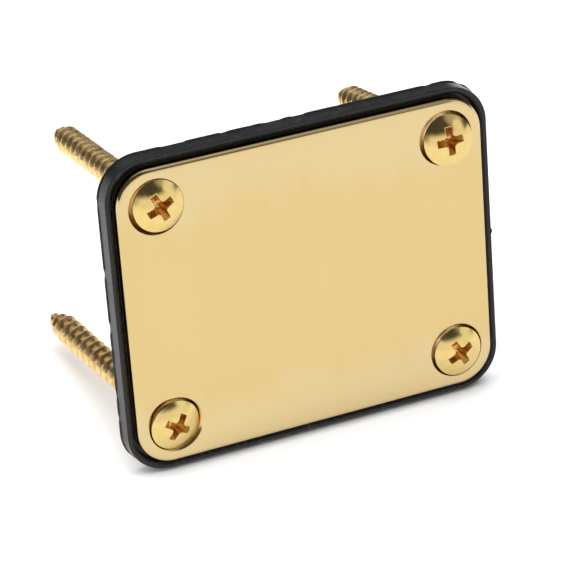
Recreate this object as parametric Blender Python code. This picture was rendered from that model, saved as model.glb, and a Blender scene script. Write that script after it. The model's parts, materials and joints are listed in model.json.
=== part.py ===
"""Guitar neck plate: a plate in a black cushion gasket, with four raised-head wood screws.

Run with: blender --background --python part.py

World frame: metres, +Z up, the polished face looking towards -Y. The part stands on its
lower edge and leans back until a lower screw props it up; the origin is on the surface it
stands on, under the middle of its bounding box.

Everything is modelled in the plate's own frame, which the "stance" empty then leans back:
origin at the centre of the gasket's back face, X along the plate, -Y out of the front face.
"""
import math

import bmesh
import bpy
from mathutils import Matrix, Vector

MM = 0.001

# Plate and gasket
PLATE_LENGTH = 64.0 * MM
PLATE_HEIGHT = 51.0 * MM
PLATE_THICKNESS = 2.3 * MM
PLATE_CORNER_RADIUS = 6.0 * MM
PLATE_EDGE_ROUND = 0.7 * MM
SIDE_GAP = 0.5 * MM
SEAT_GAP = 0.3 * MM
RIM_WIDTH = 1.1 * MM
GASKET_FLOOR = 1.5 * MM
GASKET_DEPTH = 3.0 * MM
GASKET_CORNER_RADIUS = 6.9 * MM
GASKET_DRAFT = 0.15 * MM
GASKET_EDGE_ROUND = 0.2 * MM
FRONT = GASKET_FLOOR + SEAT_GAP + PLATE_THICKNESS

# Hole pattern: two inches by one and a half
HOLE_SPACING_X = 50.8 * MM
HOLE_SPACING_Z = 38.1 * MM
PLATE_HOLE_RADIUS = 3.1 * MM
GASKET_HOLE_RADIUS = 3.4 * MM
COUNTERSINK_RADIUS = 4.75 * MM

# Screw: No. 10, one and three quarter inches, twelve threads to the inch
SCREW_LENGTH = 44.45 * MM
HEAD_RADIUS = 4.3 * MM
HEAD_DOME = 1.3 * MM
HEAD_BAND = 0.15 * MM
SHANK_RADIUS = 2.05 * MM
CREST_RADIUS = 2.35 * MM
ROOT_RADIUS = 1.65 * MM
THREAD_PITCH = 25.4 * MM / 12
THREAD_LENGTH = 30.0 * MM
POINT_LENGTH = 5.5 * MM

# Phillips recess
RECESS_DEPTH = 2.7 * MM
WING_REACH_TOP = 2.35 * MM
WING_REACH_BOTTOM = 1.0 * MM
WING_HALF_WIDTH_TOP = 0.56 * MM
WING_HALF_WIDTH_BOTTOM = 0.4 * MM

# Mesh resolution
CORNER_SEGMENTS = 8
ROUND_SEGMENTS = 3
HOLE_SEGMENTS = 32
SCREW_SEGMENTS = 16
DOME_STEPS = 5
RINGS_PER_PITCH = 4
CUT_OVERRUN = 1.0 * MM

# Each screw stands a little askew in its loose hole. For each: its side of the plate in X
# and Z, how far its head is off the hole's middle and how far its tip swings towards +X and
# +Z, how far the head's rim stands in front of the plate, and the recess's turn. Lengths
# are in millimetres and angles in degrees.
SCREWS = {
    "screw_top_left": dict(
        side=(-1, 1), offset=(0.2, 0.3), swing=(-0.6, -2.6), proud=0.45, turn=25.0
    ),
    "screw_top_right": dict(
        side=(1, 1), offset=(0.1, -0.2), swing=(1.3, -8.0), proud=0.65, turn=4.0
    ),
    "screw_bottom_left": dict(
        side=(-1, -1), offset=(-0.3, 0.15), swing=(-5.8, 4.4), proud=0.25, turn=-31.0
    ),
    "screw_bottom_right": dict(
        side=(1, -1), offset=(0.0, 0.0), swing=(-1.5, 0.2), proud=0.45, turn=29.0
    ),
}

# Finishes: base colour, metallic, roughness
FINISHES = {
    "polished_gold_plate": ((0.83, 0.62, 0.28), 1.0, 0.08),
    "gold_screw": ((0.78, 0.54, 0.22), 1.0, 0.2),
    "black_cushion": ((0.02, 0.02, 0.022), 0.0, 0.5),
}


def clear_scene():
    for obj in list(bpy.data.objects):
        bpy.data.objects.remove(obj, do_unlink=True)


def make_collection(name):
    collection = bpy.data.collections.new(name)
    bpy.context.scene.collection.children.link(collection)
    return collection


def make_material(node_name, finish):
    """A material of its own for one sub-part."""
    color, metallic, roughness = FINISHES[finish]
    material = bpy.data.materials.new(node_name + "_" + finish)
    material.use_nodes = True
    shader = material.node_tree.nodes["Principled BSDF"]
    shader.inputs["Base Color"].default_value = (*color, 1.0)
    shader.inputs["Metallic"].default_value = metallic
    shader.inputs["Roughness"].default_value = roughness
    material.diffuse_color = (*color, 1.0)
    return material


def object_from_bmesh(name, bm, collection, parent):
    bmesh.ops.recalc_face_normals(bm, faces=bm.faces[:])
    mesh = bpy.data.meshes.new(name)
    bm.to_mesh(mesh)
    bm.free()
    obj = bpy.data.objects.new(name, mesh)
    obj.parent = parent
    collection.objects.link(obj)
    return obj


def make_empty(name, collection, parent=None):
    empty = bpy.data.objects.new(name, None)
    empty.parent = parent
    collection.objects.link(empty)
    return empty


def as_cutter(obj):
    obj.hide_render = True
    obj.display_type = "WIRE"


def cut(obj, cutter):
    modifier = obj.modifiers.new("Cut " + cutter.name, "BOOLEAN")
    modifier.operation = "DIFFERENCE"
    modifier.object = cutter


def shade_round(obj, angle=35.0):
    obj.data.shade_smooth()
    obj.data.set_sharp_from_angle(angle=math.radians(angle))


def rounded_slab(length, height, back, front, corner_radius):
    """An upright slab with round corners, from y = -back to y = -front."""
    bm = bmesh.new()
    bmesh.ops.create_cube(bm, size=1.0)
    middle = Vector((0.0, -(back + front) / 2, 0.0))
    bmesh.ops.scale(bm, vec=(length, front - back, height), verts=bm.verts)
    bmesh.ops.translate(bm, vec=middle, verts=bm.verts)
    half = (front - back) / 2
    corners = [e for e in bm.edges if abs(e.verts[0].co.y - e.verts[1].co.y) > half]
    bmesh.ops.bevel(
        bm,
        geom=corners,
        offset=corner_radius,
        offset_type="OFFSET",
        segments=CORNER_SEGMENTS,
        profile=0.5,
        affect="EDGES",
    )
    return bm


def round_outline(bm, y, radius, segments):
    """Round the outline edge of a slab at the given y."""
    outline = [e for e in bm.edges if all(abs(v.co.y - y) < 1e-7 for v in e.verts)]
    bmesh.ops.bevel(
        bm,
        geom=outline,
        offset=radius,
        offset_type="OFFSET",
        segments=segments,
        profile=0.5,
        affect="EDGES",
    )


def turned(profile, segments):
    """Spin a profile of (radius, z) points, given from pole to pole, about Z."""
    bm = bmesh.new()
    verts = [bm.verts.new((radius, 0.0, z)) for radius, z in profile]
    edges = [bm.edges.new(pair) for pair in zip(verts, verts[1:])]
    bmesh.ops.spin(
        bm,
        geom=verts + edges,
        cent=(0.0, 0.0, 0.0),
        axis=(0.0, 0.0, 1.0),
        angle=math.tau,
        steps=segments,
        use_merge=True,
    )
    bmesh.ops.remove_doubles(bm, verts=bm.verts, dist=1e-7)
    return bm


def hole_places():
    return [
        (sx * HOLE_SPACING_X / 2, sz * HOLE_SPACING_Z / 2)
        for sx in (-1, 1)
        for sz in (-1, 1)
    ]


def hole_cutter(name, profile, collection, parent):
    """One turned cutter for each hole of the pattern; z of the profile runs out of the front."""
    bm = bmesh.new()
    for x, z in hole_places():
        single = turned(profile, HOLE_SEGMENTS)
        to_hole = Matrix.Translation((x, 0.0, z)) @ Matrix.Rotation(math.pi / 2, 4, "X")
        single.transform(to_hole)
        mesh = bpy.data.meshes.new(name)
        single.to_mesh(mesh)
        single.free()
        bm.from_mesh(mesh)
        bpy.data.meshes.remove(mesh)
    cutter = object_from_bmesh(name, bm, collection, parent)
    as_cutter(cutter)
    return cutter


def make_gasket(parts, cutters, stance):
    """A shallow tray: a floor with four holes and a thin rim round the plate."""
    rim = SIDE_GAP + RIM_WIDTH
    length = PLATE_LENGTH + 2 * rim
    height = PLATE_HEIGHT + 2 * rim
    bm = rounded_slab(length, height, 0.0, GASKET_DEPTH, GASKET_CORNER_RADIUS)
    front = [v for v in bm.verts if v.co.y < -GASKET_DEPTH / 2]
    draft = (1 - 2 * GASKET_DRAFT / length, 1, 1 - 2 * GASKET_DRAFT / height)
    bmesh.ops.scale(bm, vec=draft, verts=front)
    bm.normal_update()
    round_outline(bm, -GASKET_DEPTH, GASKET_EDGE_ROUND, 1)
    gasket = object_from_bmesh("cushion_gasket", bm, parts, stance)

    bm = rounded_slab(
        PLATE_LENGTH + 2 * SIDE_GAP,
        PLATE_HEIGHT + 2 * SIDE_GAP,
        GASKET_FLOOR,
        GASKET_DEPTH + CUT_OVERRUN,
        PLATE_CORNER_RADIUS,
    )
    tray = object_from_bmesh("gasket_tray_cutter", bm, cutters, stance)
    as_cutter(tray)
    cut(gasket, tray)

    profile = [
        (0.0, GASKET_FLOOR + CUT_OVERRUN),
        (GASKET_HOLE_RADIUS, GASKET_FLOOR + CUT_OVERRUN),
        (GASKET_HOLE_RADIUS, -CUT_OVERRUN),
        (0.0, -CUT_OVERRUN),
    ]
    cut(gasket, hole_cutter("gasket_hole_cutter", profile, cutters, stance))
    gasket.data.materials.append(make_material("cushion_gasket", "black_cushion"))
    return gasket


def make_plate(parts, cutters, stance):
    """A flat plate with a rounded front edge and four countersunk holes."""
    back = GASKET_FLOOR + SEAT_GAP
    bm = rounded_slab(PLATE_LENGTH, PLATE_HEIGHT, back, FRONT, PLATE_CORNER_RADIUS)
    bm.normal_update()
    round_outline(bm, -FRONT, PLATE_EDGE_ROUND, ROUND_SEGMENTS)
    plate = object_from_bmesh("neck_plate", bm, parts, stance)

    countersink_depth = COUNTERSINK_RADIUS - PLATE_HOLE_RADIUS
    profile = [
        (0.0, FRONT + CUT_OVERRUN),
        (COUNTERSINK_RADIUS + CUT_OVERRUN, FRONT + CUT_OVERRUN),
        (PLATE_HOLE_RADIUS, FRONT - countersink_depth),
        (PLATE_HOLE_RADIUS, back - CUT_OVERRUN),
        (0.0, back - CUT_OVERRUN),
    ]
    cut(plate, hole_cutter("plate_hole_cutter", profile, cutters, stance))
    shade_round(plate)
    plate.data.materials.append(make_material("neck_plate", "polished_gold_plate"))
    return plate


def thread_fade(z):
    """How much of the full thread stands at height z: none at the run-out, less on the point."""
    start = THREAD_LENGTH - SCREW_LENGTH
    runout = (start - z) / THREAD_PITCH
    return max(0.0, min(1.0, runout))


def core_radius(z):
    """Radius at the thread's root, which narrows to the point."""
    above_tip = z + SCREW_LENGTH
    return ROOT_RADIUS * min(1.0, above_tip / POINT_LENGTH) ** 0.75


def screw_profile():
    """Profile of the screw without its ridge, from the dome's top to the tip."""
    sphere_radius = (HEAD_RADIUS**2 + HEAD_DOME**2) / (2 * HEAD_DOME)
    edge_angle = math.asin(HEAD_RADIUS / sphere_radius)
    points = []
    for step in range(DOME_STEPS + 1):
        angle = edge_angle * step / DOME_STEPS
        height = HEAD_DOME - sphere_radius * (1.0 - math.cos(angle))
        points.append((sphere_radius * math.sin(angle), height))
    points.append((HEAD_RADIUS, -HEAD_BAND))
    points.append((SHANK_RADIUS, -HEAD_BAND - (HEAD_RADIUS - SHANK_RADIUS)))
    thread_start = THREAD_LENGTH - SCREW_LENGTH
    points.append((SHANK_RADIUS, thread_start))
    ring_gap = THREAD_PITCH / RINGS_PER_PITCH
    rings = int(THREAD_LENGTH / ring_gap)
    for ring in range(1, rings):
        z = thread_start - ring * ring_gap
        points.append((core_radius(z), z))
    points.append((0.0, -SCREW_LENGTH))
    return points


def raise_thread(bm):
    """Push the vertices of the threaded length out to a helical ridge."""
    thread_start = THREAD_LENGTH - SCREW_LENGTH
    for vert in bm.verts:
        z = vert.co.z
        radius = math.hypot(vert.co.x, vert.co.y)
        if z > thread_start - 1e-6 or radius < 1e-6:
            continue
        turns = z / THREAD_PITCH - math.atan2(vert.co.y, vert.co.x) / math.tau
        off_crest = abs((turns % 1.0) - 0.5) * 2
        ridge = max(0.0, 1.0 - off_crest * 1.4)
        taper = min(1.0, (z + SCREW_LENGTH) / POINT_LENGTH)
        target = radius + (CREST_RADIUS - ROOT_RADIUS) * ridge * thread_fade(z) * taper
        vert.co.x *= target / radius
        vert.co.y *= target / radius


def cross_outline(reach, half_width, z):
    """The twelve corners of a cross whose wings run along X and Y."""
    corners = []
    for quarter in range(4):
        turn = Matrix.Rotation(quarter * math.pi / 2, 3, "Z")
        for x, y in ((reach, -half_width), (reach, half_width), (half_width, half_width)):
            corners.append(turn @ Vector((x, y, z)))
    return corners


def recess_cutter(name, cutters, parent):
    """Four tapering wings, which the driver's tip fits."""
    bottom = HEAD_DOME - RECESS_DEPTH
    bm = bmesh.new()
    outline = cross_outline(WING_REACH_BOTTOM, WING_HALF_WIDTH_BOTTOM, bottom)
    lower = [bm.verts.new(point) for point in outline]
    face = bm.faces.new(lower)
    extruded = bmesh.ops.extrude_face_region(bm, geom=[face])
    upper = [g for g in extruded["geom"] if isinstance(g, bmesh.types.BMVert)]
    targets = cross_outline(WING_REACH_TOP, WING_HALF_WIDTH_TOP, HEAD_DOME)
    for vert in upper:
        nearest = min(range(len(lower)), key=lambda i: (lower[i].co - vert.co).length)
        vert.co = targets[nearest]
    cutter = object_from_bmesh(name, bm, cutters, parent)
    as_cutter(cutter)
    return cutter


def make_screw(name, screw, parts, cutters, stance):
    """A screw along its own Z axis, head up, with its origin at the middle of the head's rim."""
    side_x, side_z = screw["side"]
    swing_x, swing_z = (math.radians(angle) for angle in screw["swing"])
    offset_x, offset_z = (distance * MM for distance in screw["offset"])
    seat = make_empty(name + "_axis", cutters, stance)
    seat.location = (
        side_x * HOLE_SPACING_X / 2 + offset_x,
        -(FRONT + screw["proud"] * MM),
        side_z * HOLE_SPACING_Z / 2 + offset_z,
    )
    seat.rotation_euler = (math.pi / 2 + swing_z, 0.0, -swing_x)

    bm = turned(screw_profile(), SCREW_SEGMENTS)
    raise_thread(bm)
    obj = object_from_bmesh(name, bm, parts, seat)
    obj.rotation_euler.z = math.radians(screw["turn"])
    cut(obj, recess_cutter(name + "_recess_cutter", cutters, obj))
    shade_round(obj)
    obj.data.materials.append(make_material(name, "gold_screw"))
    return obj


def world_points(objects):
    depsgraph = bpy.context.evaluated_depsgraph_get()
    for obj in objects:
        evaluated = obj.evaluated_get(depsgraph)
        for vert in evaluated.data.vertices:
            yield evaluated.matrix_world @ vert.co


def lean_angle(screws, lower_edge):
    """How far the part tips back about its lower edge before a screw meets the surface."""
    return min(
        math.atan2(point.z - lower_edge, point.y)
        for point in world_points(screws)
        if point.y > 0.0
    )


def stand_up(stance, plate_parts, screws):
    """Lean the whole part back, stand it on z = 0 and centre it over the origin."""
    lower_edge = -(PLATE_HEIGHT / 2 + SIDE_GAP + RIM_WIDTH)
    bpy.context.view_layer.update()
    lean = lean_angle(screws, lower_edge)
    stance.rotation_euler.x = -lean
    stance.location.z = -lower_edge * math.cos(lean)
    bpy.context.view_layer.update()
    ys = [point.y for point in world_points(plate_parts + screws)]
    stance.location.y = -(min(ys) + max(ys)) / 2
    bpy.context.view_layer.update()


def main():
    clear_scene()
    parts = make_collection("guitar_neck_plate")
    cutters = make_collection("cutters_and_guides")
    stance = make_empty("stance", cutters)
    plate_parts = [make_gasket(parts, cutters, stance), make_plate(parts, cutters, stance)]
    screws = [make_screw(name, screw, parts, cutters, stance) for name, screw in SCREWS.items()]
    stand_up(stance, plate_parts, screws)


main()
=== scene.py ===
"""Looks of the guitar neck plate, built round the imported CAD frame.

Every piece is modelled in a frame of its own and then stood where the CAD stands. The plate
and its gasket use the plate's frame: origin at the centre of the gasket's back face, X along
the plate, -Y out of the polished front, Z up the plate. A screw uses its own axis as Z, with
the origin at the middle of its head's rim and +Z out of the head.
"""
import json
import math

import bmesh
import bpy
from mathutils import Matrix, Quaternion, Vector, noise


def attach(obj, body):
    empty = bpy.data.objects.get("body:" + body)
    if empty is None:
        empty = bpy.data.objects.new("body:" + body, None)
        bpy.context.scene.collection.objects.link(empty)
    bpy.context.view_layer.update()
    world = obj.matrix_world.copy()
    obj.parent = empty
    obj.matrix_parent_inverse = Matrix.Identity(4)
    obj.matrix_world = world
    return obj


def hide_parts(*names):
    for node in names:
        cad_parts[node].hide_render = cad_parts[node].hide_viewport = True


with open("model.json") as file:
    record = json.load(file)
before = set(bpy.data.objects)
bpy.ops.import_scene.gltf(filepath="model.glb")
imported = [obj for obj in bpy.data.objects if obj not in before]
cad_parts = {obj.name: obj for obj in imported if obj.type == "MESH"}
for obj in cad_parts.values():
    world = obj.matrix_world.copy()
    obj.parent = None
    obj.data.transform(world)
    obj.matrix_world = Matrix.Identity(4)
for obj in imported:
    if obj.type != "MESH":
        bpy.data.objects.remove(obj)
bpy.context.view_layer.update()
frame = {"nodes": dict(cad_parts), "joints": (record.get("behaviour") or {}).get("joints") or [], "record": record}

MM = 0.001
OWN_PLACE = "own_place"

# Width of the narrow rings that keep a flat face's shading flat up to its rounded edge
GUARD = 0.05 * MM

# Plate
PLATE_LENGTH = 64.0 * MM
PLATE_HEIGHT = 51.0 * MM
PLATE_BACK = 1.8 * MM
PLATE_FRONT = 4.1 * MM
PLATE_CORNER = 6.0 * MM
PLATE_FRONT_ROUND = 0.75 * MM
PLATE_BACK_ROUND = 0.15 * MM
HOLE_SPACING_X = 50.8 * MM
HOLE_SPACING_Z = 38.1 * MM
HOLE_RADIUS = 3.1 * MM
HOLE_EDGE = 0.1 * MM
COUNTERSINK_RADIUS = 4.75 * MM
COUNTERSINK_ROUND = 0.1 * MM
COUNTERSINK_STEPS = 4

# Gasket
GASKET_LENGTH = 67.2 * MM
GASKET_HEIGHT = 54.2 * MM
GASKET_CORNER = 6.9 * MM
GASKET_DRAFT = 0.15 * MM
GASKET_DEPTH = 3.0 * MM
GASKET_FLOOR = 1.5 * MM
GASKET_HOLE_RADIUS = 3.4 * MM
GASKET_SIDE_POINTS = 120
RIM_ROUND = 0.15 * MM
FOOT_ROUND = 0.12 * MM
TRAY_LENGTH = 65.0 * MM
TRAY_HEIGHT = 52.0 * MM
TRAY_CORNER = 6.0 * MM
TRAY_ROUND = 0.2 * MM

# Marks of the gasket's mould: a ragged flash along the back edge, and the gate's stub
FLASH_REACH = 0.17 * MM
FLASH_THICKNESS = 0.1 * MM
FLASH_STEP = 0.04 * MM
FLASH_GRAIN = 420.0
FLASH_MEAN = 1.3
FLASH_SWING = 3.2
FLASH_LEAST = 0.12
GATE_REACH = 0.35 * MM
GATE_HEIGHT = 0.2 * MM
GATE_WIDTH = 0.3 * MM

# Screw
SCREW_LENGTH = 44.45 * MM
HEAD_RADIUS = 4.3 * MM
HEAD_DOME = 1.3 * MM
HEAD_BAND = 0.15 * MM
HEAD_RIM_ROUND = 0.12 * MM
HEAD_BAND_EDGE = 0.06 * MM
SHANK_RADIUS = 2.05 * MM
CREST_RADIUS = 2.35 * MM
ROOT_RADIUS = 1.72 * MM
THREAD_PITCH = 25.4 * MM / 12
THREAD_LENGTH = 30.0 * MM
THREAD_START = THREAD_LENGTH - SCREW_LENGTH
THREAD_RINGS = 18
RIDGE_WIDTH = 0.78
RIDGE_SHARPNESS = 2.2
RUNOUT_TURNS = 1.6
POINT_LENGTH = 5.5 * MM
THREAD_GRAIN = 2100
THREAD_ROUGHNESS = 0.045 * MM
POINT_ROUGHNESS = 0.16 * MM

# Phillips recess
RECESS_DEPTH = 2.5 * MM
RECESS_TIP = 0.3 * MM
WING_REACH = 2.3 * MM
WING_REACH_BOTTOM = 1.1 * MM
WING_HALF_WIDTH = 0.56 * MM
WING_HALF_WIDTH_BOTTOM = 0.36 * MM
WING_INNER_ROUND = 0.62 * MM
WING_INNER_ROUND_BOTTOM = 0.31 * MM
RECESS_EDGE_ROUND = 0.14 * MM
RECESS_TURN = {
    "screw_top_left": 25.0,
    "screw_top_right": 4.0,
    "screw_bottom_left": -31.0,
    "screw_bottom_right": 29.0,
}

# Camera, from the plate's middle
CAMERA_AZIMUTH = -25.08
CAMERA_ELEVATION = 33.47
CAMERA_DISTANCE = 510.4 * MM
CAMERA_LENS = 197.28
CAMERA_SENSOR = 36.0
CAMERA_ROLL = 0.27
PLATE_RIGHT_OF_AXIS = 3.32 * MM
PLATE_ABOVE_AXIS = 1.54 * MM

# Studio, in metres and watts
WORLD_WHITE = 1.25
WORLD_DARK = 0.09
LIGHT_DISTANCE = 4.0
KEY_AZIMUTH = 0.0
KEY_ELEVATION = 87.0
KEY_LENGTH = 5.0
KEY_WIDTH = 4.4
KEY_POWER = 225.0
FILL_AZIMUTH = -105.0
FILL_ELEVATION = 30.0
FILL_SIZE = 3.4
FILL_POWER = 100.0
FLOOR_RADIUS = 1.6


# ---------------------------------------------------------------- shapes


class Shell:
    """Points and faces of one closed mesh, built from rings of equal length.

    The points are in the piece's own frame. The mesh holds them where the piece stands, and
    keeps the own ones as an attribute, which the materials read.
    """

    def __init__(self):
        self.points = []
        self.faces = []
        self.slots = []

    def ring(self, points):
        start = len(self.points)
        self.points.extend(points)
        return list(range(start, len(self.points)))

    def face(self, corners, slot=0):
        self.faces.append(tuple(corners))
        self.slots.append(slot)

    def band(self, first, second, slot=0):
        """Quads between two closed rings."""
        count = len(first)
        for i in range(count):
            j = (i + 1) % count
            self.face((first[i], first[j], second[j], second[i]), slot)

    def bands(self, rings, slot=0):
        for first, second in zip(rings, rings[1:]):
            self.band(first, second, slot)

    def fan(self, ring, middle, slot=0):
        """Triangles from a closed ring to one point."""
        tip = self.ring([middle])[0]
        for i in range(len(ring)):
            self.face((ring[i], ring[(i + 1) % len(ring)], tip), slot)

    def flat(self, outer, holes):
        """Fill the flat area between an outer ring and the rings of its holes."""
        bm = bmesh.new()
        index_of = {}
        for ring in [outer, *holes]:
            verts = [bm.verts.new(self.points[i]) for i in ring]
            for vert, index in zip(verts, ring):
                index_of[vert] = index
            for i, vert in enumerate(verts):
                bm.edges.new((vert, verts[(i + 1) % len(verts)]))
        bmesh.ops.triangle_fill(bm, use_beauty=True, use_dissolve=False, edges=bm.edges[:])
        for made in bm.faces:
            self.face([index_of[vert] for vert in made.verts])
        bm.free()

    def build(self, name, place, materials):
        mesh = bpy.data.meshes.new(name)
        mesh.from_pydata([tuple(place @ p) for p in self.points], [], self.faces)
        for material in materials:
            mesh.materials.append(material)
        mesh.polygons.foreach_set("material_index", self.slots)
        bm = bmesh.new()
        bm.from_mesh(mesh)
        bmesh.ops.recalc_face_normals(bm, faces=bm.faces[:])
        bm.to_mesh(mesh)
        bm.free()
        mesh.shade_smooth()
        own = mesh.attributes.new(OWN_PLACE, "FLOAT_VECTOR", "POINT")
        own.data.foreach_set("vector", [c for p in self.points for c in p])
        obj = bpy.data.objects.new(name, mesh)
        bpy.context.scene.collection.objects.link(obj)
        return obj


def clamp(value):
    return max(0.0, min(1.0, value))


def rounded_outline(length, height, radius, y, steps=24, straight=12):
    """Points round an upright rounded rectangle at depth y, with the sides divided evenly."""
    points = []
    corners = ((1, 1), (-1, 1), (-1, -1), (1, -1))
    centres = [
        Vector((sx * (length / 2 - radius), y, sz * (height / 2 - radius)))
        for sx, sz in corners
    ]
    for quarter, centre in enumerate(centres):
        start = quarter * math.pi / 2
        for step in range(steps + 1):
            angle = start + step * math.pi / 2 / steps
            points.append(centre + radius * Vector((math.cos(angle), 0, math.sin(angle))))
        ahead = centres[(quarter + 1) % 4]
        angle = start + math.pi / 2
        begin = points[-1]
        end = ahead + radius * Vector((math.cos(angle), 0, math.sin(angle)))
        points.extend(begin.lerp(end, k / straight) for k in range(1, straight))
    return points


def hole_centres():
    return [
        Vector((sx * HOLE_SPACING_X / 2, 0, sz * HOLE_SPACING_Z / 2))
        for sx in (-1, 1)
        for sz in (-1, 1)
    ]


def hole_ring(shell, centre, radius, y, count=64):
    points = []
    for k in range(count):
        angle = k * math.tau / count
        points.append(centre + Vector((radius * math.cos(angle), y, radius * math.sin(angle))))
    return shell.ring(points)


def arc(steps):
    """Pairs (1 - cos, 1 - sin) along a quarter turn, for rounding an edge."""
    for step in range(steps + 1):
        angle = step * math.pi / 2 / steps
        yield 1 - math.cos(angle), 1 - math.sin(angle)


def countersunk_hole(shell, centre):
    """One hole of the plate. Returns its rings on the front and back faces."""
    edge = [hole_ring(shell, centre, COUNTERSINK_RADIUS + GUARD, -PLATE_FRONT)]
    for step in range(COUNTERSINK_STEPS + 1):
        angle = step * math.pi / 4 / COUNTERSINK_STEPS
        swell = COUNTERSINK_ROUND * math.sin(angle)
        drop = COUNTERSINK_ROUND * (1 - math.cos(angle))
        edge.append(hole_ring(shell, centre, COUNTERSINK_RADIUS - swell, -PLATE_FRONT + drop))
    cone_end = -PLATE_FRONT + COUNTERSINK_RADIUS - HOLE_RADIUS
    bore = [
        edge[-1],
        hole_ring(shell, centre, HOLE_RADIUS + GUARD, cone_end - GUARD),
        hole_ring(shell, centre, HOLE_RADIUS, cone_end + GUARD),
        hole_ring(shell, centre, HOLE_RADIUS, -PLATE_BACK - HOLE_EDGE),
        hole_ring(shell, centre, HOLE_RADIUS + HOLE_EDGE, -PLATE_BACK),
        hole_ring(shell, centre, HOLE_RADIUS + HOLE_EDGE + GUARD, -PLATE_BACK),
    ]
    shell.bands(edge)
    shell.bands(bore, slot=1)
    return edge[0], bore[-1]


def make_plate(place, materials):
    """The polished plate: rounded front edge, four countersunk holes, flat faces."""
    shell = Shell()

    def outline(inset, y):
        length = PLATE_LENGTH - 2 * inset
        height = PLATE_HEIGHT - 2 * inset
        return shell.ring(rounded_outline(length, height, PLATE_CORNER - inset, y))

    rings = [outline(PLATE_FRONT_ROUND + GUARD, -PLATE_FRONT)]
    for side, depth in arc(8):
        rings.append(outline(PLATE_FRONT_ROUND * depth, -PLATE_FRONT + PLATE_FRONT_ROUND * side))
    for side, depth in arc(3):
        rings.append(outline(PLATE_BACK_ROUND * side, -PLATE_BACK - PLATE_BACK_ROUND * depth))
    rings.append(outline(PLATE_BACK_ROUND + GUARD, -PLATE_BACK))
    shell.bands(rings)

    holes = [countersunk_hole(shell, centre) for centre in hole_centres()]
    shell.flat(rings[0], [front for front, _ in holes])
    shell.flat(rings[-1], [back for _, back in holes])
    return shell.build("plate_polished", place, materials)


def flash_share(p):
    """How far the flash reaches at a point of the back edge. It is cut off near the table."""
    ragged = max(FLASH_LEAST, min(1.0, FLASH_MEAN + FLASH_SWING * noise.noise(p * FLASH_GRAIN)))
    height_in_mm = (p.z + GASKET_HEIGHT / 2) / MM
    return ragged * clamp(height_in_mm - 1.0)


def gate_share(p):
    """How far the gate's stub reaches at a point of the wall. It is on the right side only."""
    return math.exp(-(((p.z - GATE_HEIGHT) / GATE_WIDTH) ** 2)) if p.x > 0 else 0.0


def wall_ring(shell, inset, y, flash=0.0, gate=0.0):
    """A ring of the gasket's drafted outer wall, pushed out where the flash and the gate are."""
    inset += GASKET_DRAFT * -y / GASKET_DEPTH

    def drawn(inset):
        length = GASKET_LENGTH - 2 * inset
        height = GASKET_HEIGHT - 2 * inset
        corner = GASKET_CORNER - inset
        return rounded_outline(length, height, corner, y, straight=GASKET_SIDE_POINTS)

    points = []
    for p, further_out in zip(drawn(inset), drawn(inset - MM)):
        out = flash * flash_share(p) + gate * gate_share(p)
        points.append(p + (further_out - p) * out / MM)
    return shell.ring(points)


def tray_ring(shell, inset, y):
    """A ring of the pocket that the plate lies in."""
    length = TRAY_LENGTH - 2 * inset
    height = TRAY_HEIGHT - 2 * inset
    corner = TRAY_CORNER - inset
    return shell.ring(rounded_outline(length, height, corner, y, straight=GASKET_SIDE_POINTS))


def gasket_hole(shell, centre):
    """One hole of the gasket. Returns its rings on the floor and on the back."""
    rings = [
        hole_ring(shell, centre, GASKET_HOLE_RADIUS + HOLE_EDGE, -GASKET_FLOOR),
        hole_ring(shell, centre, GASKET_HOLE_RADIUS, -GASKET_FLOOR + HOLE_EDGE),
        hole_ring(shell, centre, GASKET_HOLE_RADIUS, -HOLE_EDGE),
        hole_ring(shell, centre, GASKET_HOLE_RADIUS + HOLE_EDGE, 0.0),
    ]
    shell.bands(rings)
    return rings[0], rings[-1]


def make_gasket(place, material):
    """The moulded tray: drafted wall, rounded rim, flat floor with four holes."""
    shell = Shell()
    foot_chamfer = 0.3 * FOOT_ROUND
    flash_end = -FOOT_ROUND - FLASH_THICKNESS
    rim_start = -GASKET_DEPTH + RIM_ROUND
    rings = [
        wall_ring(shell, FOOT_ROUND + GUARD, 0.0),
        wall_ring(shell, FOOT_ROUND, 0.0),
        wall_ring(shell, foot_chamfer, -foot_chamfer),
        wall_ring(shell, 0.0, -FOOT_ROUND, flash=FLASH_REACH),
        wall_ring(shell, 0.0, flash_end, flash=FLASH_REACH),
        wall_ring(shell, 0.0, flash_end - FLASH_STEP),
        wall_ring(shell, 0.0, flash_end - FLASH_STEP - GUARD),
        wall_ring(shell, 0.0, rim_start + 0.5 * MM),
        wall_ring(shell, 0.0, rim_start + GUARD),
    ]
    for side, depth in arc(4):
        y = -GASKET_DEPTH + RIM_ROUND * depth
        rings.append(wall_ring(shell, RIM_ROUND * side, y, gate=GATE_REACH * (1 - side)))
    for side, depth in arc(4):
        rings.append(tray_ring(shell, -RIM_ROUND * (1 - side), rim_start - RIM_ROUND * depth))
    for side, depth in arc(4):
        y = -GASKET_FLOOR - TRAY_ROUND * (1 - side)
        rings.append(tray_ring(shell, TRAY_ROUND * (1 - depth), y))
    rings.append(tray_ring(shell, TRAY_ROUND + GUARD, -GASKET_FLOOR))
    shell.bands(rings)

    holes = [gasket_hole(shell, centre) for centre in hole_centres()]
    shell.flat(rings[-1], [front for front, _ in holes])
    shell.flat(rings[0], [back for _, back in holes])
    return shell.build("gasket_moulded", place, [material])


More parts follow.
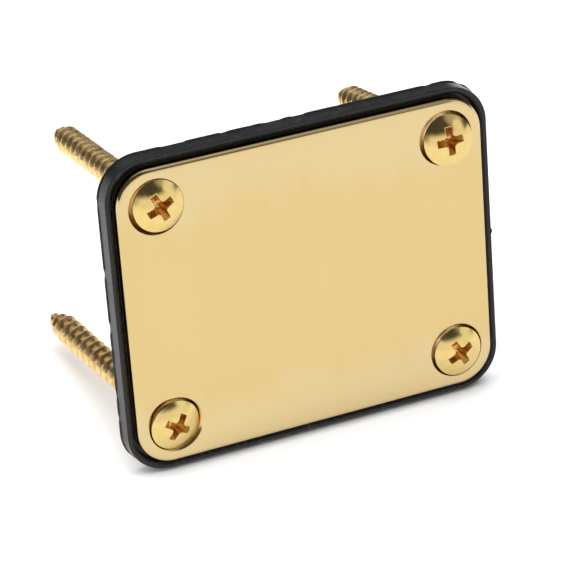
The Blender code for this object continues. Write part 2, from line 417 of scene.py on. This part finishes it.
def cross_outline(reach, half_width, inner_round):
    """Points round a four-winged recess, each wing joined to the next by a rounded corner."""
    end_steps = 4
    side_steps = 7
    bend_steps = 8
    inner = half_width + inner_round
    quarter = [
        Vector((reach, half_width * (2 * k / end_steps - 1))) for k in range(end_steps + 1)
    ]
    side = [reach + (inner - reach) * k / side_steps for k in range(1, side_steps)]
    quarter.extend(Vector((x, half_width)) for x in side)
    for k in range(bend_steps + 1):
        angle = k * math.pi / 2 / bend_steps
        x = inner - inner_round * math.sin(angle)
        y = inner - inner_round * math.cos(angle)
        quarter.append(Vector((x, y)))
    quarter.extend(Vector((half_width, y)) for y in reversed(side))
    points = []
    for turn in range(4):
        spin = Matrix.Rotation(turn * math.pi / 2, 2)
        points.extend(spin @ p for p in quarter)
    return points


def dome_height(radius):
    """Height of the head's dome above the plane of its rim."""
    sphere = (HEAD_RADIUS**2 + HEAD_DOME**2) / (2 * HEAD_DOME)
    return HEAD_DOME - sphere + math.sqrt(sphere**2 - radius**2)


def recess_rings(shell):
    """Rings of the recess, from its bottom up to where its edge starts to round."""
    bottom = HEAD_DOME - RECESS_DEPTH
    rings = []
    floor = cross_outline(WING_REACH_BOTTOM, WING_HALF_WIDTH_BOTTOM, WING_INNER_ROUND_BOTTOM)
    for scale, sink in ((0.35, 0.25 * MM), (0.7, 0.12 * MM), (0.95, 0.02 * MM)):
        rings.append(shell.ring([Vector((*(p * scale), bottom - sink)) for p in floor]))
    mouth = cross_outline(WING_REACH, WING_HALF_WIDTH, WING_INNER_ROUND)
    for share in (0.03, 0.25, 0.5, 0.75, 0.97):
        points = []
        for low, high in zip(floor, mouth):
            top = dome_height(high.length) - RECESS_EDGE_ROUND
            points.append(Vector((*low.lerp(high, share), bottom + (top - bottom) * share)))
        rings.append(shell.ring(points))
    return rings


def recess_edge(grow):
    """Outline of the recess's mouth, grown outwards."""
    return cross_outline(WING_REACH + grow, WING_HALF_WIDTH + grow, WING_INNER_ROUND - grow)


def dome_rings(shell):
    """Rings of the dome, from the recess's rounded edge out to the head's rim."""
    rings = []
    edge_steps = 4
    for step in range(1, edge_steps + 1):
        angle = step * math.pi / 2 / edge_steps
        grow = RECESS_EDGE_ROUND * (1 - math.cos(angle))
        drop = RECESS_EDGE_ROUND * (1 - math.sin(angle))
        edge = recess_edge(grow)
        rings.append(shell.ring([Vector((*p, dome_height(p.length) - drop)) for p in edge]))
    rim = HEAD_RADIUS - HEAD_RIM_ROUND
    for share in (0.04, 0.12, 0.25, 0.4, 0.55, 0.7, 0.85, 1.0):
        points = []
        for p in recess_edge(RECESS_EDGE_ROUND):
            radius = p.length + (rim - p.length) * share
            points.append(Vector((*(p.normalized() * radius), dome_height(radius))))
        rings.append(shell.ring(points))
    return rings


def thread_height(z, angle):
    """Height of the thread's ridge above the root at a place on the shank, from 0 to 1."""
    turns = z / THREAD_PITCH - angle / math.tau
    off_crest = abs((turns % 1.0) - 0.5) * 2
    flank = max(0.0, 1.0 - off_crest / RIDGE_WIDTH)
    ridge = flank * flank * (3 - 2 * flank)
    ridge = 0.45 * ridge + 0.55 * ridge**RIDGE_SHARPNESS
    return ridge * clamp((THREAD_START - z) / (RUNOUT_TURNS * THREAD_PITCH))


def core_radius(z):
    """Radius under the thread: the shank's at the run-out, then the root's, then the point."""
    blend = clamp((THREAD_START - z) / THREAD_PITCH)
    body = SHANK_RADIUS + (ROOT_RADIUS - SHANK_RADIUS) * blend
    return body * min(1.0, (z + SCREW_LENGTH) / POINT_LENGTH) ** 0.7


def round_ring(shell, directions, radius, z):
    return shell.ring([Vector((d.x * radius, d.y * radius, z)) for d in directions])


def thread_ring(shell, directions, z, shift):
    """One ring of the thread, roughened more towards the point."""
    narrow = min(1.0, (z + SCREW_LENGTH) / POINT_LENGTH) ** 0.85
    roughness = THREAD_ROUGHNESS + (POINT_ROUGHNESS - THREAD_ROUGHNESS) * (1 - narrow)
    points = []
    for d in directions:
        height = thread_height(z, math.atan2(d.y, d.x))
        radius = core_radius(z) + (CREST_RADIUS - ROOT_RADIUS) * height * narrow
        place = Vector((d.x * radius, d.y * radius, z + shift))
        grain = noise.noise(place * THREAD_GRAIN)
        radius += roughness * grain * min(1.0, radius / ROOT_RADIUS)
        points.append(Vector((d.x * radius, d.y * radius, z)))
    return shell.ring(points)


def make_screw(name, place, materials, shift):
    """One screw: domed head with recess, cone, plain shank, rolled thread and gimlet point.

    The materials are the head's, the recess's and cone's, and the shank's. The shift makes
    each screw's roughness its own.
    """
    shell = Shell()
    recess = recess_rings(shell)
    dome = dome_rings(shell)
    shell.fan(recess[0], Vector((0, 0, HEAD_DOME - RECESS_DEPTH - RECESS_TIP)), slot=1)
    shell.bands([*recess, dome[0]], slot=1)
    shell.bands(dome)

    directions = [p.normalized() for p in recess_edge(RECESS_EDGE_ROUND)]

    def ring(radius, z):
        return round_ring(shell, directions, radius, z)

    rim = HEAD_RADIUS - HEAD_RIM_ROUND
    band = [dome[-1]]
    for share in (0.35, 0.7, 1.0):
        radius = rim + HEAD_RIM_ROUND * math.sin(share * math.pi / 2)
        band.append(ring(radius, dome_height(rim) * (1 - share) ** 1.4))
    band.append(ring(HEAD_RADIUS, -HEAD_BAND))
    shell.bands(band)

    cone = HEAD_RADIUS - SHANK_RADIUS
    under = [
        band[-1],
        ring(HEAD_RADIUS - HEAD_BAND_EDGE, -HEAD_BAND - HEAD_BAND_EDGE),
        ring(HEAD_RADIUS - cone / 2, -HEAD_BAND - cone / 2),
        ring(SHANK_RADIUS + 0.12 * MM, -HEAD_BAND - cone + 0.1 * MM),
        ring(SHANK_RADIUS, -HEAD_BAND - cone - 0.2 * MM),
    ]
    shell.bands(under, slot=1)

    shank = [under[-1], ring(SHANK_RADIUS, THREAD_START * 0.6), ring(SHANK_RADIUS, THREAD_START)]
    step = THREAD_PITCH / THREAD_RINGS
    for k in range(1, int(THREAD_LENGTH / step)):
        shank.append(thread_ring(shell, directions, THREAD_START - k * step, shift))
    shell.bands(shank, slot=2)
    shell.fan(shank[-1], Vector((0, 0, -SCREW_LENGTH)), slot=2)
    return shell.build(name, place, materials)


# ---------------------------------------------------------------- materials


class Nodes:
    """Short calls for building a node tree."""

    def __init__(self, owner):
        self.tree = owner.node_tree
        self.shader = self.tree.nodes.get("Principled BSDF")

    def add(self, kind, **settings):
        node = self.tree.nodes.new(kind)
        for key, value in settings.items():
            setattr(node, key, value)
        return node

    def link(self, source, target):
        self.tree.links.new(source, target)

    def drive(self, socket, source):
        """Link an output to an input of the shader."""
        self.link(source, self.shader.inputs[socket])

    def noise(self, coordinates, scale, detail=3.0, roughness=0.5, distortion=0.0):
        node = self.add("ShaderNodeTexNoise")
        node.inputs["Scale"].default_value = scale
        node.inputs["Detail"].default_value = detail
        node.inputs["Roughness"].default_value = roughness
        node.inputs["Distortion"].default_value = distortion
        self.link(coordinates, node.inputs["Vector"])
        return node.outputs["Fac"]

    def stretched(self, coordinates, scale, turn=(0.0, 0.0, 0.0)):
        node = self.add("ShaderNodeMapping")
        node.inputs["Scale"].default_value = scale
        node.inputs["Rotation"].default_value = turn
        self.link(coordinates, node.inputs["Vector"])
        return node.outputs["Vector"]

    def split(self, coordinates):
        """The X, Y and Z outputs of a vector."""
        node = self.add("ShaderNodeSeparateXYZ")
        self.link(coordinates, node.inputs["Vector"])
        return node.outputs

    def range(self, value, low, high, to_low, to_high, kind="LINEAR"):
        node = self.add("ShaderNodeMapRange", interpolation_type=kind)
        limits = {"From Min": low, "From Max": high, "To Min": to_low, "To Max": to_high}
        for socket, number in limits.items():
            node.inputs[socket].default_value = number
        self.link(value, node.inputs["Value"])
        return node.outputs["Result"]

    def smooth(self, value, low, high):
        return self.range(value, low, high, 0.0, 1.0, "SMOOTHSTEP")

    def math(self, operation, first, second):
        node = self.add("ShaderNodeMath", operation=operation)
        for socket, value in zip(node.inputs, (first, second)):
            if isinstance(value, (int, float)):
                socket.default_value = value
            else:
                self.link(value, socket)
        return node.outputs["Value"]

    def mix(self, factor, first, second):
        """A colour between two plain ones."""
        node = self.add("ShaderNodeMix", data_type="RGBA")
        self.link(factor, node.inputs["Factor"])
        for name, color in (("A", first), ("B", second)):
            socket = next(s for s in node.inputs if s.name == name and s.type == "RGBA")
            socket.default_value = (*color, 1.0)
        return next(s for s in node.outputs if s.type == "RGBA")

    def bump(self, height, strength, distance, under=None):
        node = self.add("ShaderNodeBump")
        node.inputs["Strength"].default_value = strength
        node.inputs["Distance"].default_value = distance
        self.link(height, node.inputs["Height"])
        if under is not None:
            self.link(under, node.inputs["Normal"])
        return node.outputs["Normal"]


def new_material(name, metallic=0.0):
    """A material's nodes, and the coordinates in the piece's own frame."""
    material = bpy.data.materials.new(name)
    material.use_nodes = True
    nodes = Nodes(material)
    nodes.shader.inputs["Metallic"].default_value = metallic
    own = nodes.add("ShaderNodeAttribute", attribute_name=OWN_PLACE)
    return material, nodes, own.outputs["Vector"]


def polished_gold():
    """Mirror-polished plating, paler in bands above and below its middle as a painted reflection, with faint
    wiping marks.
    """
    plain = (0.572, 0.43, 0.192)
    pale_reflection_and_smear = (0.582, 0.455, 0.236)
    material, nodes, place = new_material("polished_gold", metallic=1.0)
    wiped = nodes.stretched(place, (110, 110, 30), (0, 0.1, 0))
    smear = nodes.noise(wiped, 1.0, detail=4.0, roughness=0.55, distortion=0.8)
    from_middle = nodes.math("ABSOLUTE", nodes.split(place)["Z"], 0.0)
    waver = nodes.range(smear, 0.3, 0.7, -2.5 * MM, 2.5 * MM)
    # Paler bands above and below the middle, faded again near the top and bottom edges: painted reflection
    band = nodes.smooth(nodes.math("ADD", from_middle, waver), 13.0 * MM, 20.0 * MM)
    edge = nodes.range(from_middle, 22.5 * MM, 25.5 * MM, 0.0, 0.4, "SMOOTHSTEP")
    streaks = nodes.range(smear, 0.35, 0.7, -0.15, 0.25)
    # The painted reflection bands plus the wiping streaks
    reflection_and_smears = nodes.math("ADD", nodes.math("SUBTRACT", band, edge), streaks)
    nodes.drive("Base Color", nodes.mix(reflection_and_smears, plain, pale_reflection_and_smear))
    grain = nodes.noise(nodes.stretched(place, (4000, 4000, 300), (0, 0.5, 0)), 1.0, detail=2.0)
    smeared = nodes.range(smear, 0.3, 0.75, 0.05, 0.11)
    scratched = nodes.range(grain, 0.45, 0.7, 0.0, 0.04)
    nodes.drive("Roughness", nodes.math("ADD", smeared, scratched))
    slow = nodes.bump(nodes.noise(place, 45.0, detail=1.0), 0.15, 0.2 * MM)
    nodes.drive("Normal", nodes.bump(grain, 0.03, 0.01 * MM, slow))
    return material


def countersunk_gold():
    """The drilled countersinks under the same plating: satin, with turned rings."""
    dark = (0.55, 0.37, 0.14)
    light = (0.76, 0.56, 0.26)
    material, nodes, place = new_material("countersunk_gold", metallic=1.0)
    turned = nodes.noise(nodes.stretched(place, (300, 9000, 300)), 1.0, roughness=0.6)
    nodes.drive("Base Color", nodes.mix(turned, dark, light))
    nodes.drive("Roughness", nodes.range(turned, 0.3, 0.7, 0.16, 0.3))
    nodes.drive("Normal", nodes.bump(turned, 0.3, 0.03 * MM))
    return material


def head_gold():
    """The screws' polished heads: brighter, slightly rougher plating over a pressed dome."""
    dark = (0.63, 0.46, 0.16)
    light = (0.67, 0.51, 0.215)
    material, nodes, place = new_material("head_gold", metallic=1.0)
    mottle = nodes.noise(place, 900.0, detail=4.0, roughness=0.6)
    nodes.drive("Base Color", nodes.mix(nodes.range(mottle, 0.35, 0.7, 0.0, 1.0), dark, light))
    nodes.drive("Roughness", nodes.range(mottle, 0.3, 0.75, 0.1, 0.2))
    nodes.drive("Normal", nodes.bump(nodes.noise(place, 1500.0, detail=2.0), 0.12, 0.02 * MM))
    return material


def recess_gold():
    """The recess and the head's cone: thin dull plating, with painted shade that makes it darker and more orange
    deeper down.
    """
    deep_painted_shade = (0.72, 0.44, 0.15)
    high = (0.86, 0.62, 0.3)
    material, nodes, place = new_material("recess_gold", metallic=1.0)
    mottle = nodes.noise(place, 1600.0)
    # Painted shade: darker and more orange lower in the recess and on the cone under the head
    height = nodes.range(nodes.split(place)["Z"], -1.2 * MM, 1.2 * MM, 0.0, 1.0)
    level = nodes.math("ADD", height, nodes.range(mottle, 0.3, 0.7, -0.15, 0.15))
    nodes.drive("Base Color", nodes.mix(level, deep_painted_shade, high))
    nodes.drive("Roughness", nodes.range(mottle, 0.3, 0.7, 0.22, 0.38))
    nodes.drive("Normal", nodes.bump(mottle, 0.2, 0.03 * MM))
    return material


def thread_gold():
    """Rolled thread: satin plating with painted shade, browner and darker in the roots and lighter on the crests,
    with small pits and drawn marks.
    """
    shaded_root = (0.66, 0.41, 0.16)
    lit_crest = (1.0, 0.76, 0.38)
    material, nodes, place = new_material("thread_gold", metallic=1.0)
    axes = nodes.split(place)
    squares = [nodes.math("POWER", axes[name], 2.0) for name in ("X", "Y")]
    radius = nodes.math("SQRT", nodes.math("ADD", *squares), 0.0)
    mottle = nodes.noise(place, 1100.0, detail=4.0, roughness=0.6)
    # Painted shade in the roots: darker and browner towards the root radius, lighter on the crests, varied by the
    # mottle
    height = nodes.range(radius, ROOT_RADIUS, CREST_RADIUS, 0.0, 1.0)
    root_shade_and_mottle = nodes.math("ADD", height, nodes.range(mottle, 0.35, 0.7, -0.35, 0.35))
    nodes.drive("Base Color", nodes.mix(root_shade_and_mottle, shaded_root, lit_crest))
    nodes.drive("Roughness", nodes.range(mottle, 0.3, 0.7, 0.26, 0.42))
    pits = nodes.noise(nodes.stretched(place, (1, 1, 0.5)), 2400.0, roughness=0.65)
    nodes.drive("Normal", nodes.bump(pits, 0.8, 0.09 * MM))
    return material


def moulded_black():
    """Black moulded plastic: satin skin with a fine grain and pale scuffs."""
    black = (0.009, 0.009, 0.01)
    scuffed = (0.03, 0.029, 0.03)
    material, nodes, place = new_material("moulded_black")
    nodes.shader.inputs["IOR"].default_value = 1.35
    mottle = nodes.noise(place, 220.0, detail=5.0, roughness=0.6)
    long_marks = nodes.stretched(place, (900, 900, 260))
    scuff = nodes.noise(long_marks, 1.0, detail=4.0, roughness=0.65)
    nodes.drive("Base Color", nodes.mix(nodes.range(scuff, 0.58, 0.78, 0.0, 1.0), black, scuffed))
    skin = nodes.range(mottle, 0.3, 0.7, 0.2, 0.3)
    nodes.drive("Roughness", nodes.math("ADD", skin, nodes.range(scuff, 0.5, 0.8, 0.0, 0.12)))
    broad = nodes.bump(mottle, 0.2, 0.08 * MM)
    grain = nodes.noise(place, 5200.0, detail=2.0)
    nodes.drive("Normal", nodes.bump(grain, 0.25, 0.02 * MM, broad))
    return material


def white_table():
    material, nodes, _ = new_material("white_table")
    fibre = nodes.noise(nodes.add("ShaderNodeTexCoord").outputs["Object"], 120.0)
    nodes.drive("Base Color", nodes.mix(fibre, (0.895, 0.895, 0.895), (0.905, 0.905, 0.905)))
    nodes.shader.inputs["Roughness"].default_value = 0.9
    nodes.shader.inputs["Specular IOR Level"].default_value = 0.1
    return material


# ---------------------------------------------------------------- placing


def plate_place():
    """The plate's frame in the row frame, from the mount on the gasket's back."""
    mount = frame["record"]["mounts"][0]
    axis = Vector(mount["axis"])
    lean = math.atan2(-axis.z, axis.y)
    return Matrix.Translation(mount["pos_m"]) @ Matrix.Rotation(-lean, 4, "X")


def screw_place(name, plate):
    """A screw's frame: its joint's axis out of the head, through the tip of its CAD solid."""
    joint = next(j for j in frame["joints"] if j["child"] == name)
    out = Vector(joint["axis"]).normalized()
    tip = min((v.co for v in frame["nodes"][name].data.vertices), key=lambda co: co.dot(out))
    up = plate.to_3x3() @ Vector((0, 0, 1))
    across = up.cross(out).normalized()
    turned = Matrix((across, out.cross(across), out)).transposed().to_4x4()
    spin = Matrix.Rotation(math.radians(RECESS_TURN[name]), 4, "Z")
    return Matrix.Translation(tip + out * SCREW_LENGTH) @ turned @ spin


def direction(azimuth, elevation):
    """Unit vector to a place in the studio: azimuth 0 in front of the plate, 90 to its right."""
    around = math.radians(azimuth)
    up = math.radians(elevation)
    level = math.cos(up)
    return Vector((math.sin(around) * level, -math.cos(around) * level, math.sin(up)))


def make_camera(plate):
    back = direction(CAMERA_AZIMUTH, CAMERA_ELEVATION)
    roll = Quaternion((0, 0, 1), math.radians(CAMERA_ROLL))
    turn = back.to_track_quat("Z", "Y") @ roll
    middle = plate @ Vector((0, -GASKET_DEPTH, 0))
    aim = middle - turn @ Vector((PLATE_RIGHT_OF_AXIS, PLATE_ABOVE_AXIS, 0))
    camera = bpy.data.objects.new("camera", bpy.data.cameras.new("camera"))
    camera.data.lens = CAMERA_LENS
    camera.data.sensor_width = CAMERA_SENSOR
    camera.data.clip_start = 0.01
    camera.data.clip_end = 50.0
    camera.location = aim + back * CAMERA_DISTANCE
    camera.rotation_euler = turn.to_euler()
    bpy.context.scene.collection.objects.link(camera)
    bpy.context.scene.camera = camera


def make_light(name, back, length, width, power):
    """A broad soft light for the floor's shadows. The metal reflects the world instead."""
    light = bpy.data.lights.new(name, "AREA")
    light.shape = "RECTANGLE"
    light.size = length
    light.size_y = width
    light.energy = power
    lamp = bpy.data.objects.new(name, light)
    along = Vector((0, 0, 1)).cross(back).normalized()
    lamp.location = back * LIGHT_DISTANCE
    lamp.visible_glossy = False
    lamp.rotation_euler = Matrix((along, back.cross(along), back)).transposed().to_euler()
    bpy.context.scene.collection.objects.link(lamp)


def make_world():
    """A studio: white at and below the horizon, a dark room above it, and soft bright patches.

    Each patch is placed for what reflects it: the front one for the plate, the two on the right
    for the domes, the ceiling for the plate's top edge, and the rear one for the gasket's top.
    """
    world = bpy.data.worlds.new("studio")
    bpy.context.scene.world = world
    world.use_nodes = True
    nodes = Nodes(world)
    background = world.node_tree.nodes["Background"]
    ray = nodes.add("ShaderNodeTexCoord").outputs["Generated"]
    height = nodes.split(ray)["Z"]

    def towards(azimuth, elevation, inner, outer):
        """1 within the inner angle of a direction, fading to 0 at the outer angle."""
        dot = nodes.add("ShaderNodeVectorMath", operation="DOT_PRODUCT")
        nodes.link(ray, dot.inputs[0])
        dot.inputs[1].default_value = direction(azimuth, elevation)
        dark = math.cos(math.radians(outer))
        bright = math.cos(math.radians(inner))
        return nodes.smooth(dot.outputs["Value"], dark, bright)

    def below(low, high):
        """1 up to the low elevation, fading to 0 at the high one."""
        rise = nodes.smooth(height, math.sin(math.radians(low)), math.sin(math.radians(high)))
        return nodes.math("SUBTRACT", 1.0, rise)

    light = below(4, 10)
    patches = [
        nodes.math("MULTIPLY", below(16, 30), towards(15, 0, 42, 62)),
        towards(53, 25, 8, 20),
        nodes.math("MULTIPLY", towards(55, 44, 8, 24), 0.45),
        nodes.math("MULTIPLY", towards(90, 76, 6, 16), 0.8),
        nodes.math("MULTIPLY", towards(180, 52, 18, 34), 0.72),
    ]
    for patch in patches:
        light = nodes.math("MAXIMUM", light, patch)
    strength = nodes.math("MULTIPLY_ADD", light, WORLD_WHITE - WORLD_DARK)
    strength.node.inputs[2].default_value = WORLD_DARK
    nodes.link(strength, background.inputs["Strength"])
    background.inputs["Color"].default_value = (1.0, 1.0, 1.0, 1.0)


def make_floor():
    bm = bmesh.new()
    bmesh.ops.create_circle(bm, cap_ends=True, segments=96, radius=FLOOR_RADIUS)
    mesh = bpy.data.meshes.new("table")
    bm.to_mesh(mesh)
    bm.free()
    floor = bpy.data.objects.new("table", mesh)
    floor.data.materials.append(white_table())
    bpy.context.scene.collection.objects.link(floor)


def main():
    plate = plate_place()
    make_camera(plate)

    polished = make_plate(plate, [polished_gold(), countersunk_gold()])
    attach(polished, "plate_and_cushion")
    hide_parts("neck_plate")

    gasket = make_gasket(plate, moulded_black())
    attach(gasket, "plate_and_cushion")
    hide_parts("cushion_gasket")

    screw_materials = [head_gold(), recess_gold(), thread_gold()]
    for number, name in enumerate(RECESS_TURN):
        stand = screw_place(name, plate)
        screw = make_screw(name + "_threaded", stand, screw_materials, number * SCREW_LENGTH)
        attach(screw, name)
        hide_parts(name)

    make_floor()
    make_world()
    overhead = direction(KEY_AZIMUTH, KEY_ELEVATION)
    make_light("overhead", overhead, KEY_LENGTH, KEY_WIDTH, KEY_POWER)
    left = direction(FILL_AZIMUTH, FILL_ELEVATION)
    make_light("fill", left, FILL_SIZE, FILL_SIZE, FILL_POWER)
    bpy.context.scene.view_settings.view_transform = "Standard"


main()
